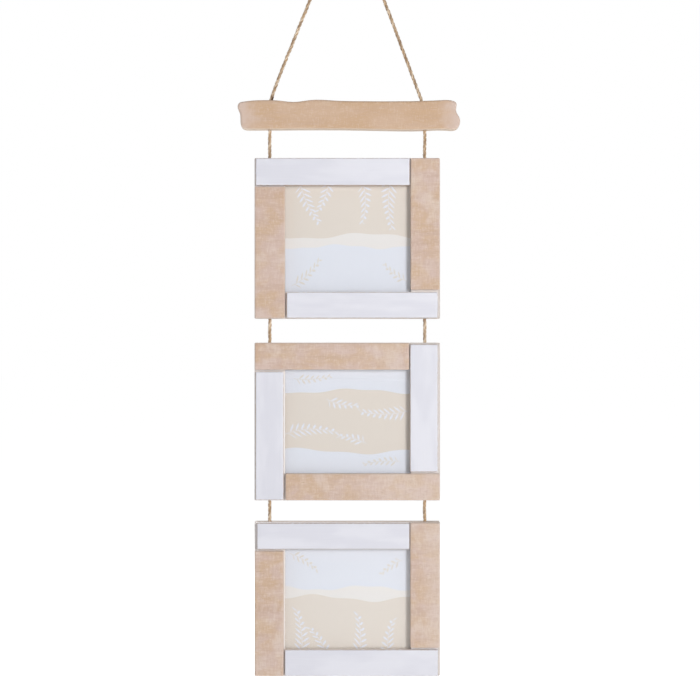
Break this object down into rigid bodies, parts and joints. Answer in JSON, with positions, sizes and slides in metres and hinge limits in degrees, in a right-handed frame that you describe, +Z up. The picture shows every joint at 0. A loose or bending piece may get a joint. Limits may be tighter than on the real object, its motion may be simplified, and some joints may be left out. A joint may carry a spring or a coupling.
{
  "type": "collage photo frame",
  "caption": "Wall-hung collage photo frame: small landscape frames with pinwheel slats, hung one below another on jute cords from a wooden crossbar.",
  "frame": {"origin": "top of the wall hook, where the bend of the hanging cord rests on it", "axes": "+Z up, -Y out of the wall towards the viewer, +X to the viewer's right"},
  "size_m": [0.2078, 0.015, 0.7134],
  "materials": {
    "limed_wood": "matte",
    "white_painted_wood": "satin",
    "back_frame_wood": "matte",
    "clear_glass": "gloss",
    "print_paper": "satin",
    "hardboard": "satin",
    "zinc_steel": "satin",
    "jute_cord": "matte"
  },
  "bodies": {
    "hanging_cord": {"hanging_cord": "jute_cord"},
    "crossbar": {"crossbar": "limed_wood", "crossbar_cord_stubs": "jute_cord"},
    "link_cords_1": {"link_cord_1_left": "jute_cord", "link_cord_1_right": "jute_cord"},
    "frame_1": {"frame_1_back_frame": "back_frame_wood", "frame_1_top_slat": "white_painted_wood", "frame_1_right_slat": "limed_wood", "frame_1_bottom_slat": "white_painted_wood", "frame_1_left_slat": "limed_wood", "frame_1_glass": "clear_glass", "frame_1_print": "print_paper", "frame_1_backing_board": "hardboard", "frame_1_button_screws": "zinc_steel", "frame_1_upper_knots": "jute_cord", "frame_1_lower_knots": "jute_cord"},
    "frame_1_top_button": {"frame_1_top_button": "zinc_steel"},
    "frame_1_right_button": {"frame_1_right_button": "zinc_steel"},
    "frame_1_bottom_button": {"frame_1_bottom_button": "zinc_steel"},
    "frame_1_left_button": {"frame_1_left_button": "zinc_steel"},
    "link_cords_2": {"link_cord_2_left": "jute_cord", "link_cord_2_right": "jute_cord"},
    "frame_2": {"frame_2_back_frame": "back_frame_wood", "frame_2_top_slat": "limed_wood", "frame_2_right_slat": "white_painted_wood", "frame_2_bottom_slat": "limed_wood", "frame_2_left_slat": "white_painted_wood", "frame_2_glass": "clear_glass", "frame_2_print": "print_paper", "frame_2_backing_board": "hardboard", "frame_2_button_screws": "zinc_steel", "frame_2_upper_knots": "jute_cord", "frame_2_lower_knots": "jute_cord"},
    "frame_2_top_button": {"frame_2_top_button": "zinc_steel"},
    "frame_2_right_button": {"frame_2_right_button": "zinc_steel"},
    "frame_2_bottom_button": {"frame_2_bottom_button": "zinc_steel"},
    "frame_2_left_button": {"frame_2_left_button": "zinc_steel"},
    "link_cords_3": {"link_cord_3_left": "jute_cord", "link_cord_3_right": "jute_cord"},
    "frame_3": {"frame_3_back_frame": "back_frame_wood", "frame_3_top_slat": "white_painted_wood", "frame_3_right_slat": "limed_wood", "frame_3_bottom_slat": "white_painted_wood", "frame_3_left_slat": "limed_wood", "frame_3_glass": "clear_glass", "frame_3_print": "print_paper", "frame_3_backing_board": "hardboard", "frame_3_button_screws": "zinc_steel", "frame_3_upper_knots": "jute_cord"},
    "frame_3_top_button": {"frame_3_top_button": "zinc_steel"},
    "frame_3_right_button": {"frame_3_right_button": "zinc_steel"},
    "frame_3_bottom_button": {"frame_3_bottom_button": "zinc_steel"},
    "frame_3_left_button": {"frame_3_left_button": "zinc_steel"}
  },
  "joints": [
    {"name": "crossbar_swing", "type": "hinge", "parent": "hanging_cord", "child": "crossbar", "pos_m": [-0.00135, 0, -0.17364], "axis": [1, 0, 0], "range_deg": [-35, 35]},
    {"name": "link_cords_1_swing", "type": "hinge", "parent": "crossbar", "child": "link_cords_1", "pos_m": [-0.00135, 0, -0.20141], "axis": [1, 0, 0], "range_deg": [-35, 35]},
    {"name": "frame_1_swing", "type": "hinge", "parent": "link_cords_1", "child": "frame_1", "pos_m": [-0.00135, 0, -0.22741], "axis": [1, 0, 0], "range_deg": [-35, 35]},
    {"name": "frame_1_top_button_turn", "type": "hinge", "parent": "frame_1", "child": "frame_1_top_button", "pos_m": [-0.00135, 0.00406, -0.24446], "axis": [0, 1, 0], "continuous": true},
    {"name": "frame_1_right_button_turn", "type": "hinge", "parent": "frame_1", "child": "frame_1_right_button", "pos_m": [0.06925, 0.00406, -0.30236], "axis": [0, 1, 0], "continuous": true},
    {"name": "frame_1_bottom_button_turn", "type": "hinge", "parent": "frame_1", "child": "frame_1_bottom_button", "pos_m": [-0.00135, 0.00406, -0.36026], "axis": [0, 1, 0], "continuous": true},
    {"name": "frame_1_left_button_turn", "type": "hinge", "parent": "frame_1", "child": "frame_1_left_button", "pos_m": [-0.07195, 0.00406, -0.30236], "axis": [0, 1, 0], "continuous": true},
    {"name": "link_cords_2_swing", "type": "hinge", "parent": "frame_1", "child": "link_cords_2", "pos_m": [-0.00135, 0, -0.37731], "axis": [1, 0, 0], "range_deg": [-35, 35]},
    {"name": "frame_2_swing", "type": "hinge", "parent": "link_cords_2", "child": "frame_2", "pos_m": [-0.00135, 0, -0.39961], "axis": [1, 0, 0], "range_deg": [-35, 35]},
    {"name": "frame_2_top_button_turn", "type": "hinge", "parent": "frame_2", "child": "frame_2_top_button", "pos_m": [-0.00135, 0.00406, -0.41531], "axis": [0, 1, 0], "continuous": true},
    {"name": "frame_2_right_button_turn", "type": "hinge", "parent": "frame_2", "child": "frame_2_right_button", "pos_m": [0.06925, 0.00406, -0.47321], "axis": [0, 1, 0], "continuous": true},
    {"name": "frame_2_bottom_button_turn", "type": "hinge", "parent": "frame_2", "child": "frame_2_bottom_button", "pos_m": [-0.00135, 0.00406, -0.53111], "axis": [0, 1, 0], "continuous": true},
    {"name": "frame_2_left_button_turn", "type": "hinge", "parent": "frame_2", "child": "frame_2_left_button", "pos_m": [-0.07195, 0.00406, -0.47321], "axis": [0, 1, 0], "continuous": true},
    {"name": "link_cords_3_swing", "type": "hinge", "parent": "frame_2", "child": "link_cords_3", "pos_m": [-0.00135, 0, -0.54681], "axis": [1, 0, 0], "range_deg": [-35, 35]},
    {"name": "frame_3_swing", "type": "hinge", "parent": "link_cords_3", "child": "frame_3", "pos_m": [-0.00135, 0, -0.56671], "axis": [1, 0, 0], "range_deg": [-35, 35]},
    {"name": "frame_3_top_button_turn", "type": "hinge", "parent": "frame_3", "child": "frame_3_top_button", "pos_m": [-0.00135, 0.00406, -0.58076], "axis": [0, 1, 0], "continuous": true},
    {"name": "frame_3_right_button_turn", "type": "hinge", "parent": "frame_3", "child": "frame_3_right_button", "pos_m": [0.06925, 0.00406, -0.63866], "axis": [0, 1, 0], "continuous": true},
    {"name": "frame_3_bottom_button_turn", "type": "hinge", "parent": "frame_3", "child": "frame_3_bottom_button", "pos_m": [-0.00135, 0.00406, -0.69656], "axis": [0, 1, 0], "continuous": true},
    {"name": "frame_3_left_button_turn", "type": "hinge", "parent": "frame_3", "child": "frame_3_left_button", "pos_m": [-0.07195, 0.00406, -0.63866], "axis": [0, 1, 0], "continuous": true}
  ]
}
